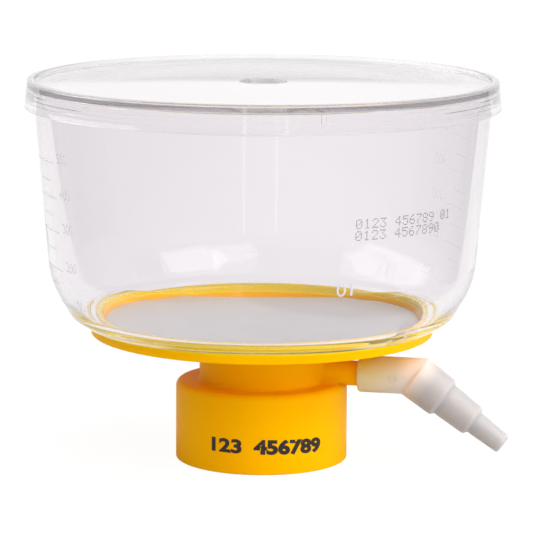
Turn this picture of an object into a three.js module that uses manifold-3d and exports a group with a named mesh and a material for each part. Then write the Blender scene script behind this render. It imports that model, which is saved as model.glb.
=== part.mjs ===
// Bottle-top vacuum filtration unit: a clear chamber with a lift-off lid stands on a
// one-piece base that holds the filter membrane and screws on a reagent bottle, and a
// swivelling hose adapter is pushed on the base's side spigot. Millimetres, +Z up.
// The base, the chamber and the lid are turned about one upright axis, and the spigot
// points along +X. Heights count from the collar's open end, on which the unit stands.

import * as THREE from 'three';
import { mergeVertices } from 'three/addons/utils/BufferGeometryUtils.js';
import Module from 'manifold-3d';

const wasm = await Module();
wasm.setup();

// Shared values
const seatGap = 0.3;             // between two pieces that touch
const turnSegments = 60;         // facets round the upright axis
const tubeSegments = 24;         // facets round the spigot and the hose adapter
const arcStep = THREE.MathUtils.degToRad(18);
const smallRound = 1;            // roundings under this get coarse arcs
const smallArcStep = THREE.MathUtils.degToRad(45);

// Screw collar and neck
const collarRadius = 24.5;
const collarHeight = 22.6;
const collarWall = 1.6;
const collarRoof = 2.4;
const collarLip = 0.4;           // widening of the collar's open end
const shoulderRound = 1.8;
const neckRadius = 17.8;
const neckWall = 2;
const neckHeight = 14;           // from the collar's top to the plate's lower edge

// Membrane plate
const plateRadius = 48.7;
const plateEdge = 2.3;           // height of the plain outer edge
const plateSlope = 0.16;         // fall of the plate towards the neck
const plateWall = 1.5;
const plateRim = 2.7;            // width of the rim round the membrane's well
const landWidth = 0.8;           // flat top of the well's wall
const landHeight = 0.6;
const tongueWidth = 1.2;         // raised ring in a groove of the chamber's foot
const tongueHeight = 1.9;
const seatHeight = 0.7;          // of the membrane's seat over the plate's lower edge
const seatWidth = 2.5;
const ribCount = 20;
const ribThickness = 1;
const longRibInset = 2.5;        // from the drain hole to the long ribs
const shortRibStart = 21;

// Drip spout
const spoutBore = 2.6;
const spoutWall = 1.4;
const spoutDrop = 10.6;          // from the collar's top to the spout's end

// Vacuum spigot
const spigotRadius = 3.55;
const spigotBore = 1.9;
const spigotRise = 2.9;          // of its axis over the collar's top
const spigotLength = 16.5;       // past the collar's side
const spigotTaper = 0.5;
const taperLength = 2;

// Membrane and collar gasket
const membraneThickness = 0.2;
const gasketThickness = 1.8;
const gasketInset = 0.5;         // from the neck's inside to the gasket's hole

// Chamber
const footOverhang = 1.3;        // of the chamber's foot past the plate
const kneeReach = 4.5;           // from the foot out to the knee, where the floor steepens
const kneeRise = 2.9;
const kneeRound = 4;
const haunchReach = 5.72;        // from the knee out to the wall's line
const haunchRise = 9.73;
const haunchRound = 22;
const chamberFlare = 4.73;       // widening of the wall up to the rim
const chamberDepth = 67.4;
const chamberWall = 1.7;
const chamberFloorWall = 2.1;
const ledgeWidth = 4.6;          // nearly flat ledge inside, round the membrane
const ledgeRise = 0.45;
const ledgeRound = 3;
const ledgeWall = 0.65;          // over the groove

// Lid
const lidClearance = 0.35;       // round the chamber's rim
const lidPanelWall = 1.2;
const lidRimHeight = 1.1;
const lidRimWidth = 1.9;
const lidRound = 0.75;
const skirtDepth = 8.1;
const skirtWall = 1.2;
const skirtFlare = 0.78;
const gateRadius = 6.7;          // shallow round recess at the lid's middle
const gateDepth = 0.5;
const ventRibCount = 3;
const ventRibWidth = 1.3;
const ventRibLength = 3.7;
const ventRibAngle = -63.6;      // degrees, of the first vent rib

// Hose adapter
const socketRadius = 5.25;
const socketOffset = 3.9;        // from the collar's side to the socket's mouth
const bendOffset = 3.44;         // from the spigot's end to the bend
const bendAngle = THREE.MathUtils.degToRad(35.9);
const adapterBore = 2.1;
const adapterTipBore = 1.7;
const mouthRound = 0.5;
const hoseSteps = [              // start and end along the bent axis, and radii
  { from: 0, to: 9.98, big: 6.35, small: 6.02 },
  { from: 11.87, to: 20.62, big: 4.96, small: 4.57 },
  { from: 22.5, to: 31.54, big: 3.36, small: 2.9 },
];

// Levels, from the collar's open end up
const spoutEnd = collarHeight - spoutDrop;
const spigotLevel = collarHeight + spigotRise;
const plateBottom = collarHeight + neckHeight;
const plateShoulder = plateBottom + plateEdge;
const landTop = plateShoulder + landHeight;
const tongueTop = plateShoulder + tongueHeight;
const seatLevel = plateBottom + seatHeight;
const membraneBottom = seatLevel + seatGap;
const chamberFoot = plateShoulder + seatGap;
const kneeLevel = chamberFoot + kneeRise;
const haunchLevel = kneeLevel + haunchRise;
const chamberRim = chamberFoot + chamberDepth;
const lidUnderside = chamberRim + seatGap;
const lidPanelTop = lidUnderside + lidPanelWall;
const lidTop = lidPanelTop + lidRimHeight;
const skirtBottom = lidTop - skirtDepth;

// Distances from the upright axis
const wellRadius = plateRadius - plateRim;
const tongueInner = wellRadius + landWidth;
const tongueOuter = tongueInner + tongueWidth;
const chamberFootRadius = plateRadius + footOverhang;
const kneeRadius = chamberFootRadius + kneeReach;
const haunchRadius = kneeRadius + haunchReach;
const chamberTopRadius = haunchRadius + chamberFlare;
const lidRadius = chamberTopRadius + lidClearance + skirtWall;
const skirtRadius = lidRadius + skirtFlare;
const spigotReach = collarRadius + spigotLength;
const socketStart = collarRadius + socketOffset;
const bendPlace = spigotReach + bendOffset;
const adapterTip = hoseSteps[hoseSteps.length - 1];
const adapterReach = bendPlace + adapterTip.to * Math.cos(bendAngle)
  + adapterTip.small * Math.sin(bendAngle);

// A corner of a turned outline: distance from the axis, height, and rounding radius.
function corner(radius, level, round = 0) {
  return { point: new THREE.Vector2(radius, level), round };
}

// Points of a closed outline, with an arc at each rounded corner.
function outline(corners) {
  const points = [];
  corners.forEach((here, index) => {
    const before = corners[(index + corners.length - 1) % corners.length].point;
    const after = corners[(index + 1) % corners.length].point;
    if (here.round > 0) {
      points.push(...cornerArc(before, here.point, after, here.round));
    } else {
      points.push(here.point.clone());
    }
  });
  return points;
}

function cornerArc(before, tip, after, round) {
  const back = before.clone().sub(tip).normalize();
  const ahead = after.clone().sub(tip).normalize();
  const half = Math.acos(THREE.MathUtils.clamp(back.dot(ahead), -1, 1)) / 2;
  const room = Math.min(before.distanceTo(tip), after.distanceTo(tip));
  const reach = Math.min(round / Math.tan(half), room * 0.98);
  const radius = reach * Math.tan(half);
  const start = tip.clone().addScaledVector(back, reach);
  const middle = back.clone().add(ahead).normalize();
  const centre = tip.clone().addScaledVector(middle, radius / Math.sin(half));
  const sweep = Math.PI - 2 * half;
  const turn = -Math.sign(back.cross(ahead));
  const steps = Math.ceil(sweep / (radius < smallRound ? smallArcStep : arcStep));
  const points = [];
  for (let step = 0; step <= steps; step += 1) {
    points.push(start.clone().rotateAround(centre, (turn * sweep * step) / steps));
  }
  return points;
}

// A solid turned about Z. The outline runs anticlockwise, with the axis on its left.
function turned(points, segments = turnSegments) {
  const closed = [...points, points[0].clone()];
  const geometry = new THREE.LatheGeometry(closed, segments);
  geometry.rotateX(Math.PI / 2);
  return solid(geometry);
}

// A solid rod or cone along +X from one place to another.
function rod(fromX, toX, fromRadius, toRadius, segments = tubeSegments) {
  const length = toX - fromX;
  const geometry = new THREE.CylinderGeometry(toRadius, fromRadius, length, segments);
  geometry.rotateZ(-Math.PI / 2);
  geometry.translate(fromX + length / 2, 0, 0);
  return solid(geometry);
}

function solid(geometry) {
  const bare = geometry.index ? geometry.toNonIndexed() : geometry;
  bare.deleteAttribute('normal');
  bare.deleteAttribute('uv');
  const merged = mergeVertices(bare, 1e-4);
  const triVerts = new Uint32Array(merged.index.array);
  const vertProperties = new Float32Array(merged.attributes.position.array);
  return new wasm.Manifold(new wasm.Mesh({ numProp: 3, vertProperties, triVerts }));
}

function named(name, body, finish) {
  const mesh = body.getMesh();
  const geometry = new THREE.BufferGeometry();
  geometry.setAttribute('position', new THREE.BufferAttribute(mesh.vertProperties, 3));
  geometry.setIndex(new THREE.BufferAttribute(mesh.triVerts, 1));
  geometry.computeVertexNormals();
  const piece = new THREE.Mesh(geometry, new THREE.MeshStandardMaterial(finish));
  piece.name = name;
  return piece;
}

// Height of the plate's underside and of the floor under the membrane.
function undersideLevel(radius) {
  return plateBottom - plateSlope * (plateRadius - radius);
}

function floorLevel(radius) {
  return undersideLevel(radius) + plateWall;
}

function baseShell() {
  const spoutRadius = spoutBore + spoutWall;
  const neckInner = neckRadius - neckWall;
  const collarInner = collarRadius - collarWall;
  const roofLevel = collarHeight - collarRoof;
  const seatInner = wellRadius - seatWidth;
  return turned(outline([
    corner(spoutBore, spoutEnd),
    corner(spoutRadius, spoutEnd, 0.4),
    corner(spoutRadius, undersideLevel(spoutRadius)),
    corner(neckInner, undersideLevel(neckInner)),
    corner(neckInner, roofLevel),
    corner(collarInner, roofLevel),
    corner(collarInner, 1.5 * collarLip),
    corner(collarInner + collarLip, 0),
    corner(collarRadius, 0, 0.4),
    corner(collarRadius, collarHeight, shoulderRound),
    corner(neckRadius, collarHeight, 0.9),
    corner(neckRadius, undersideLevel(neckRadius), 1.5),
    corner(plateRadius, plateBottom, 0.3),
    corner(plateRadius, plateShoulder, 0.2),
    corner(tongueOuter, plateShoulder),
    corner(tongueOuter, tongueTop),
    corner(tongueInner, tongueTop),
    corner(tongueInner, landTop),
    corner(wellRadius, landTop),
    corner(wellRadius, seatLevel),
    corner(seatInner, seatLevel),
    corner(seatInner, floorLevel(seatInner)),
    corner(spoutBore, floorLevel(spoutBore)),
  ]));
}

// One upright rib under the membrane, from a start radius out to the seat.
function membraneRib(start, turn) {
  const sink = plateWall / 2;
  const end = wellRadius - seatWidth + 0.5;
  const side = new THREE.Shape([
    new THREE.Vector2(start, floorLevel(start) - sink),
    new THREE.Vector2(end, floorLevel(end) - sink),
    new THREE.Vector2(end, seatLevel),
    new THREE.Vector2(start, seatLevel),
  ]);
  const geometry = new THREE.ExtrudeGeometry(side, { depth: ribThickness, bevelEnabled: false });
  geometry.translate(0, 0, -ribThickness / 2);
  geometry.rotateX(Math.PI / 2);
  geometry.rotateZ(turn);
  return solid(geometry);
}

function filterBase() {
  let body = baseShell();
  for (let index = 0; index < ribCount; index += 1) {
    const start = index % 2 === 0 ? spoutBore + longRibInset : shortRibStart;
    body = body.add(membraneRib(start, (index * 2 * Math.PI) / ribCount));
  }
  const root = neckRadius - neckWall / 2;
  const taperStart = spigotReach - taperLength;
  const stem = rod(root, taperStart, spigotRadius, spigotRadius);
  const tip = rod(taperStart, spigotReach, spigotRadius, spigotRadius - spigotTaper);
  const bore = rod(root - neckWall, spigotReach + 1, spigotBore, spigotBore);
  body = body.add(stem.add(tip).translate([0, 0, spigotLevel]));
  return body.subtract(bore.translate([0, 0, spigotLevel]));
}

function membraneDisc() {
  const radius = wellRadius - seatGap;
  return turned([
    new THREE.Vector2(0, membraneBottom),
    new THREE.Vector2(radius, membraneBottom),
    new THREE.Vector2(radius, membraneBottom + membraneThickness),
    new THREE.Vector2(0, membraneBottom + membraneThickness),
  ]);
}

function collarGasket() {
  const top = collarHeight - collarRoof - seatGap;
  const inner = neckRadius - neckWall + gasketInset;
  const outer = collarRadius - collarWall - seatGap;
  return turned(outline([
    corner(inner, top - gasketThickness, 0.3),
    corner(outer, top - gasketThickness, 0.3),
    corner(outer, top),
    corner(inner, top),
  ]));
}

// The corner of a wall's inside, a wall's thickness from the outside's corner.
function insideCorner(before, tip, after, wall, round) {
  const back = before.clone().sub(tip).normalize();
  const ahead = after.clone().sub(tip).normalize();
  const half = Math.acos(THREE.MathUtils.clamp(back.dot(ahead), -1, 1)) / 2;
  const inwards = back.add(ahead).normalize();
  const place = tip.clone().addScaledVector(inwards, wall / Math.sin(half));
  return corner(place.x, place.y, round);
}

function chamber() {
  const foot = new THREE.Vector2(chamberFootRadius, chamberFoot);
  const knee = new THREE.Vector2(kneeRadius, kneeLevel);
  const haunch = new THREE.Vector2(haunchRadius, haunchLevel);
  const rim = new THREE.Vector2(chamberTopRadius, chamberRim);
  const grooveInner = tongueInner - seatGap;
  const grooveOuter = tongueOuter + seatGap;
  const grooveTop = tongueTop + seatGap;
  const lipBottom = landTop + seatGap;
  const ledgeLevel = grooveTop + ledgeWall;
  return turned(outline([
    corner(wellRadius, lipBottom),
    corner(grooveInner, lipBottom),
    corner(grooveInner, grooveTop),
    corner(grooveOuter, grooveTop),
    corner(grooveOuter, chamberFoot),
    corner(foot.x, foot.y, 0.3),
    corner(knee.x, knee.y, kneeRound),
    corner(haunch.x, haunch.y, haunchRound),
    corner(rim.x, rim.y, 0.5),
    corner(rim.x - chamberWall, rim.y, 0.5),
    insideCorner(knee, haunch, rim, chamberWall, haunchRound - chamberWall),
    insideCorner(foot, knee, haunch, chamberFloorWall, 2 * kneeRound),
    corner(wellRadius + ledgeWidth, ledgeLevel + ledgeRise, ledgeRound),
    corner(wellRadius, ledgeLevel, 0.3),
  ]));
}

function lidShell() {
  const skirtInner = skirtRadius - skirtWall;
  const cornerInner = lidRadius - skirtWall;
  return turned(outline([
    corner(0, lidUnderside),
    corner(cornerInner, lidUnderside),
    corner(skirtInner - 0.3, skirtBottom + 1.2),
    corner(skirtInner, skirtBottom),
    corner(skirtRadius, skirtBottom, 0.3),
    corner(lidRadius + 0.15, lidUnderside - 0.5),
    corner(lidRadius, lidUnderside),
    corner(lidRadius, lidTop, lidRound),
    corner(lidRadius - lidRimWidth, lidTop, 0.4),
    corner(lidRadius - lidRimWidth - 0.4, lidPanelTop),
    corner(gateRadius + 0.2, lidPanelTop),
    corner(gateRadius, lidPanelTop - gateDepth),
    corner(0, lidPanelTop - gateDepth),
  ]));
}

// Small upright ribs inside the skirt keep it off the chamber's rim.
function ventRib(turn) {
  const inner = chamberTopRadius + seatGap;
  const outer = lidRadius - skirtWall / 2;
  const geometry = new THREE.BoxGeometry(outer - inner, ventRibWidth, ventRibLength);
  geometry.translate((inner + outer) / 2, 0, lidUnderside - ventRibLength / 2 + 0.2);
  geometry.rotateZ(turn);
  return solid(geometry);
}

function lid() {
  let body = lidShell();
  for (let index = 0; index < ventRibCount; index += 1) {
    const turn = ventRibAngle + (index * 360) / ventRibCount;
    body = body.add(ventRib(THREE.MathUtils.degToRad(turn)));
  }
  return body;
}

// The stepped stem, made along +X from the bend and then bent down.
function hoseStem() {
  let stem = null;
  hoseSteps.forEach((step, index) => {
    const cone = rod(step.from, step.to, step.big, step.small);
    stem = stem ? stem.add(cone) : cone;
    const next = hoseSteps[index + 1];
    if (next) {
      const middle = step.to + (next.from - step.to) * 0.35;
      const waist = next.big - 0.15;
      stem = stem.add(rod(step.to, middle, step.small, waist));
      stem = stem.add(rod(middle, next.from, waist, next.big));
    }
  });
  return stem;
}

function bent(body) {
  const turn = THREE.MathUtils.radToDeg(bendAngle);
  return body.rotate([0, turn, 0]).translate([bendPlace, 0, 0]);
}

function hoseAdapter() {
  const socketEnd = spigotReach + seatGap;
  const past = bendPlace + 2 * socketRadius;
  const straight = rod(socketStart + mouthRound, past, socketRadius, socketRadius)
    .add(rod(socketStart, socketStart + mouthRound, socketRadius - mouthRound / 2, socketRadius));
  const beyondBend = bent(rod(0.5, 4 * socketRadius, 4 * socketRadius, 4 * socketRadius));
  const outside = straight.subtract(beyondBend).add(bent(hoseStem()));
  const socketBore = rod(socketStart - 1, socketEnd, spigotRadius + seatGap, spigotRadius + seatGap);
  const straightBore = rod(socketStart, bendPlace + 0.5, adapterBore, adapterBore);
  const stemBore = bent(rod(-0.5, adapterTip.to + 1, adapterBore, adapterTipBore));
  const hollow = socketBore.add(straightBore).add(stemBore);
  return outside.subtract(hollow).translate([0, 0, spigotLevel]);
}

const clearPlastic = {
  color: '#ece7ea', roughness: 0.08, metalness: 0, transparent: true, opacity: 0.35,
};
const unit = new THREE.Group();
unit.add(named('filter_base', filterBase(), { color: '#f5b400', roughness: 0.22, metalness: 0 }));
unit.add(named('membrane', membraneDisc(), { color: '#d6d4d4', roughness: 0.8, metalness: 0 }));
unit.add(named('collar_gasket', collarGasket(), { color: '#e9e7e2', roughness: 0.6, metalness: 0 }));
unit.add(named('funnel', chamber(), clearPlastic));
unit.add(named('lid', lid(), clearPlastic));
unit.add(named('hose_adapter', hoseAdapter(), { color: '#e6d8c8', roughness: 0.45, metalness: 0 }));

// The origin is under the middle of the unit's footprint, from the lid's skirt on one
// side to the adapter's tip on the other.
unit.position.x = -(adapterReach - skirtRadius) / 2;

const group = new THREE.Group();
group.add(unit);

export default group;
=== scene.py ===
import math

import bmesh
import bpy
from mathutils import Matrix, Vector


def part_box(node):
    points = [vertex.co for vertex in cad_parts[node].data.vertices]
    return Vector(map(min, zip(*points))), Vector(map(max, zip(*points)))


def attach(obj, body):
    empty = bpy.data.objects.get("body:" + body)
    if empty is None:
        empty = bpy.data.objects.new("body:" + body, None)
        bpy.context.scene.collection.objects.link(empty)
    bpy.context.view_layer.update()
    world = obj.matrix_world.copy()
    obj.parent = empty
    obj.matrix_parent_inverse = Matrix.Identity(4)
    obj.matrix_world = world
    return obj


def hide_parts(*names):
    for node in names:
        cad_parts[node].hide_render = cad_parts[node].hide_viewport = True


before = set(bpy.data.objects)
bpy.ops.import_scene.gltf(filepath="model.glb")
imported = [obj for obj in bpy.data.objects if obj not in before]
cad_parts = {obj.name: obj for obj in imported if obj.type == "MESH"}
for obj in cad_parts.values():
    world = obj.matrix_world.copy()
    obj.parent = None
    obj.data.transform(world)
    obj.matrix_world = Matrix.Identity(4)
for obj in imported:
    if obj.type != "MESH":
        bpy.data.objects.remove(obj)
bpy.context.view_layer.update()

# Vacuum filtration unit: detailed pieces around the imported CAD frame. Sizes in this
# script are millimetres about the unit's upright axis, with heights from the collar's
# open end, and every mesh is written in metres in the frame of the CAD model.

scene = bpy.context.scene

MM = 0.001
TURN_SEGMENTS = 240
TUBE_SEGMENTS = 96
ARC_STEP = math.radians(6)
SHARP_ANGLE = math.radians(28)

funnel_low, funnel_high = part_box("funnel")
base_low, base_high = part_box("filter_base")
lid_low, lid_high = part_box("lid")
membrane_low, membrane_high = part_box("membrane")
gasket_low, gasket_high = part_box("collar_gasket")
adapter_low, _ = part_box("hose_adapter")
AXIS_X = (funnel_low.x + funnel_high.x) / 2


def half_depth(low, high):
    """Radius of a turned node, in millimetres."""
    return (high.y - low.y) / 2 / MM


# Main sizes, from the boxes of the CAD nodes
PLATE_RADIUS = half_depth(base_low, base_high)
BASE_TOP = base_high.z / MM
CHAMBER_FOOT = funnel_low.z / MM
CHAMBER_RIM = funnel_high.z / MM
CHAMBER_TOP_RADIUS = half_depth(funnel_low, funnel_high)
LID_TOP = lid_high.z / MM
SKIRT_BOTTOM = lid_low.z / MM
SKIRT_RADIUS = half_depth(lid_low, lid_high)
MEMBRANE_LOW = membrane_low.z / MM
MEMBRANE_HIGH = membrane_high.z / MM
MEMBRANE_RADIUS = half_depth(membrane_low, membrane_high)
GASKET_LOW = gasket_low.z / MM
GASKET_HIGH = gasket_high.z / MM
GASKET_RADIUS = half_depth(gasket_low, gasket_high)
SOCKET_START = (adapter_low.x - AXIS_X) / MM

# Base
COLLAR_RADIUS = 24.5
COLLAR_HEIGHT = 22.6
COLLAR_INNER = 22.9
COLLAR_ROOF = 20.2
NECK_RADIUS = 17.8
NECK_INNER = 15.8
PLATE_BOTTOM = BASE_TOP - 4.2
PLATE_SHOULDER = BASE_TOP - 1.9
LAND_TOP = BASE_TOP - 1.3
TONGUE_TOP = BASE_TOP + 0.35      # it melts into the chamber's foot where the two are welded
PLATE_SLOPE = 0.16
PLATE_WALL = 1.5
WELL_RADIUS = PLATE_RADIUS - 2.7
TONGUE_INNER = WELL_RADIUS + 1.0
TONGUE_OUTER = TONGUE_INNER + 1.2
SEAT_LEVEL = PLATE_BOTTOM + 0.7
SEAT_INNER = WELL_RADIUS - 2.5
SPOUT_BORE = 2.6
SPOUT_RADIUS = 4.0
SPOUT_END = 12.0
RIB_COUNT = 20
RIB_WIDTH = 1.0
LONG_RIB_START = 5.1
SHORT_RIB_START = 21.0
SPIGOT_LEVEL = 25.5
SPIGOT_RADIUS = 3.55
SPIGOT_BORE = 1.9
SPIGOT_REACH = SOCKET_START + 12.6

# Chamber
WELD = 0.05                      # how far the clear foot sinks in the yellow rim
FOOT_LEVEL = PLATE_SHOULDER + 0.2      # outside the weld the foot hangs over the plate
FOOT_RADIUS = 50.0
KNEE_RADIUS = 54.5
KNEE_LEVEL = CHAMBER_FOOT + 2.9
KNEE_ROUND = 4.0
HAUNCH_RADIUS = 60.22
HAUNCH_LEVEL = KNEE_LEVEL + 9.73
HAUNCH_ROUND = 22.0
CHAMBER_WALL = 1.7
CHAMBER_FLOOR = 2.1
LEDGE_RADIUS = WELL_RADIUS + 4.6
LEDGE_LEVEL = BASE_TOP + 0.95

# Lid
LID_RADIUS = 66.5
LID_UNDERSIDE = 106.9
LID_PANEL = 108.1
SKIRT_WALL = 1.2
GATE_RADIUS = 6.9
GATE_DEPTH = 0.75
VENT_RIB_COUNT = 3
VENT_RIB_ANGLE = -63.6

# Hose adapter
SOCKET_RADIUS = 5.25
BEND_PLACE = SPIGOT_REACH + 3.44
GATE_PLACE = SOCKET_START + 10.3
BEND_ANGLE = math.radians(35.9)
ADAPTER_BORE = 2.1
TIP_BORE = 1.7
HOSE_STEPS = (                   # start, end, radius at the start, radius at the end
    (0.0, 9.98, 6.35, 6.02),
    (11.87, 20.62, 4.96, 4.57),
    (22.5, 31.54, 3.36, 2.9),
)

# Where the photographer stood, as an angle about the upright axis
CAMERA_AZIMUTH = math.radians(-77.7)

UPRIGHT = Matrix.Translation((AXIS_X, 0, 0)) @ Matrix.Scale(MM, 4)
ALONG_X = (
    Matrix.Translation((AXIS_X, 0, SPIGOT_LEVEL * MM))
    @ Matrix.Rotation(math.pi / 2, 4, "Y")
    @ Matrix.Scale(MM, 4)
)
ALONG_BEND = (
    Matrix.Translation((AXIS_X + BEND_PLACE * MM, 0, SPIGOT_LEVEL * MM))
    @ Matrix.Rotation(math.pi / 2 + BEND_ANGLE, 4, "Y")
    @ Matrix.Scale(MM, 4)
)


# ---------------------------------------------------------------- outlines

def corner_arc(before, tip, after, rounding):
    """Points of the arc that rounds one corner of an outline."""
    back = (before - tip).normalized()
    ahead = (after - tip).normalized()
    half = math.acos(max(-1.0, min(1.0, back.dot(ahead)))) / 2
    room = min((before - tip).length, (after - tip).length)
    reach = min(rounding / math.tan(half), room * 0.98)
    radius = reach * math.tan(half)
    centre = tip + (back + ahead).normalized() * (radius / math.sin(half))
    first = tip + back * reach - centre
    last = tip + ahead * reach - centre
    sweep = first.angle_signed(last)
    steps = max(3, math.ceil(abs(sweep) / ARC_STEP))
    points = []
    for step in range(steps + 1):
        turn = -sweep * step / steps
        spin = Matrix.Rotation(turn, 2)
        points.append(centre + spin @ first)
    return points


def outline(corners):
    """A closed outline from corners of (radius, height, rounding)."""
    tips = [Vector(corner[:2]) for corner in corners]
    points = []
    for index, here in enumerate(corners):
        rounding = here[2] if len(here) > 2 else 0
        tip = tips[index]
        if rounding > 0:
            after = tips[(index + 1) % len(tips)]
            points.extend(corner_arc(tips[index - 1], tip, after, rounding))
        else:
            points.append(tip)
    return points


# ---------------------------------------------------------------- meshes

def mesh_object(name, vertices, faces, place):
    """A smooth-shaded object, with its vertices moved by a matrix into the frame."""
    mesh = bpy.data.meshes.new(name)
    mesh.from_pydata([place @ Vector(vertex) for vertex in vertices], [], faces)
    work = bmesh.new()
    work.from_mesh(mesh)
    bmesh.ops.remove_doubles(work, verts=work.verts, dist=1e-7)
    bmesh.ops.recalc_face_normals(work, faces=work.faces)
    work.to_mesh(mesh)
    work.free()
    piece = bpy.data.objects.new(name, mesh)
    scene.collection.objects.link(piece)
    smooth(piece)
    return piece


def smooth(piece):
    piece.data.shade_smooth()
    piece.data.set_sharp_from_angle(angle=SHARP_ANGLE)


def turned(name, points, place=UPRIGHT, segments=TURN_SEGMENTS):
    """A closed outline of (radius, height) turned about the local Z axis."""
    vertices = []
    rings = []
    for radius, level in points:
        if radius < 1e-6:
            rings.append([len(vertices)] * segments)
            vertices.append((0, 0, level))
            continue
        rings.append(list(range(len(vertices), len(vertices) + segments)))
        for step in range(segments):
            turn = 2 * math.pi * step / segments
            vertices.append((radius * math.cos(turn), radius * math.sin(turn), level))
    faces = []
    for index, ring in enumerate(rings):
        other = rings[(index + 1) % len(rings)]
        for step in range(segments):
            after = (step + 1) % segments
            loop = [ring[step], ring[after], other[after], other[step]]
            face = [corner for at, corner in enumerate(loop) if corner not in loop[:at]]
            if len(face) > 2:
                faces.append(face)
    return mesh_object(name, vertices, faces, place)


def tube_faces(count, rings):
    """Two end faces and the sides of a tube with as many rings of count points."""
    last = (rings - 1) * count
    faces = [list(range(count)), list(range(last, last + count))]
    for low in range(0, last, count):
        high = low + count
        for index in range(count):
            after = (index + 1) % count
            faces.append([low + index, low + after, high + after, high + index])
    return faces


def prism(name, outline_points, start, end, place):
    """An outline of (across, up) points run along the local X axis."""
    vertices = [(start, y, z) for y, z in outline_points]
    vertices += [(end, y, z) for y, z in outline_points]
    return mesh_object(name, vertices, tube_faces(len(outline_points), 2), place)


def apply_modifiers(piece):
    depsgraph = bpy.context.evaluated_depsgraph_get()
    mesh = bpy.data.meshes.new_from_object(piece.evaluated_get(depsgraph))
    piece.modifiers.clear()
    piece.data = mesh
    mesh.name = piece.name


def combine(piece, tool, operation):
    """Joins the tool to a piece, or cuts it out, and removes the tool."""
    boolean = piece.modifiers.new(operation, "BOOLEAN")
    boolean.object = tool
    boolean.operation = operation
    boolean.solver = "EXACT"
    apply_modifiers(piece)
    bpy.data.objects.remove(tool)
    smooth(piece)
    return piece


# ---------------------------------------------------------------- materials

def new_material(name):
    made = bpy.data.materials.new(name)
    made.use_nodes = True
    tree = made.node_tree
    return made, tree, tree.nodes["Principled BSDF"]


def set_values(node, **values):
    for name, value in values.items():
        node.inputs[name.replace("_", " ")].default_value = value


def noise(tree, scale, detail=2.0, roughness=0.5, stretch=(1, 1, 1)):
    """A noise texture in the object's own coordinates, which are metres."""
    coordinates = tree.nodes.new("ShaderNodeTexCoord")
    mapping = tree.nodes.new("ShaderNodeMapping")
    mapping.inputs["Scale"].default_value = stretch
    tree.links.new(coordinates.outputs["Object"], mapping.inputs["Vector"])
    texture = tree.nodes.new("ShaderNodeTexNoise")
    set_values(texture, Scale=scale, Detail=detail, Roughness=roughness)
    tree.links.new(mapping.outputs["Vector"], texture.inputs["Vector"])
    return texture.outputs["Fac"]


def bump(tree, shader, layers):
    """Bump from layers of (height socket, strength, distance in metres)."""
    before = None
    for height, strength, distance in layers:
        node = tree.nodes.new("ShaderNodeBump")
        set_values(node, Strength=strength, Distance=distance)
        tree.links.new(height, node.inputs["Height"])
        if before:
            tree.links.new(before, node.inputs["Normal"])
        before = node.outputs["Normal"]
    tree.links.new(before, shader.inputs["Normal"])


def ramp(tree, factor, stops):
    """A colour ramp with stops of (position, colour)."""
    node = tree.nodes.new("ShaderNodeValToRGB")
    elements = node.color_ramp.elements
    elements[0].position = stops[0][0]
    elements[0].color = (*stops[0][1], 1)
    elements[1].position = stops[-1][0]
    elements[1].color = (*stops[-1][1], 1)
    for position, colour in stops[1:-1]:
        elements.new(position).color = (*colour, 1)
    tree.links.new(factor, node.inputs["Fac"])
    return node.outputs["Color"]


def value_range(tree, factor, low, high):
    node = tree.nodes.new("ShaderNodeMapRange")
    set_values(node, To_Min=low, To_Max=high)
    tree.links.new(factor, node.inputs["Value"])
    return node.outputs["Result"]


def arithmetic(tree, operation, first, second):
    node = tree.nodes.new("ShaderNodeMath")
    node.operation = operation
    for socket, value in zip(node.inputs, (first, second)):
        if isinstance(value, (int, float)):
            socket.default_value = value
        else:
            tree.links.new(value, socket)
    return node.outputs["Value"]


def step_between(tree, value, low, high, top=1.0, kind="SMOOTHSTEP"):
    """Rises from 0 where the value is low to the top where it is high."""
    node = tree.nodes.new("ShaderNodeMapRange")
    node.interpolation_type = kind
    set_values(node, From_Min=low, From_Max=high, To_Max=top)
    tree.links.new(value, node.inputs["Value"])
    return node.outputs["Result"]


def object_place(tree):
    """Where the shaded point is in the object, in metres, and the parts of that place."""
    coordinates = tree.nodes.new("ShaderNodeTexCoord")
    split = tree.nodes.new("ShaderNodeSeparateXYZ")
    tree.links.new(coordinates.outputs["Object"], split.inputs["Vector"])
    return coordinates.outputs["Object"], split.outputs


def choose(tree, factor, first, second):
    """The first shader where the factor is 0, and the second where it is 1."""
    node = tree.nodes.new("ShaderNodeMixShader")
    tree.links.new(factor, node.inputs["Fac"])
    tree.links.new(first, node.inputs[1])
    tree.links.new(second, node.inputs[2])
    return node.outputs["Shader"]


def srgb(red, green, blue):
    """A colour as it is seen on screen, from 0 to 255, as linear light."""
    linear = []
    for value in (red, green, blue):
        value /= 255
        low = value / 12.92
        high = ((value + 0.055) / 1.055) ** 2.4
        linear.append(low if value <= 0.04045 else high)
    return tuple(linear)


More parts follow.
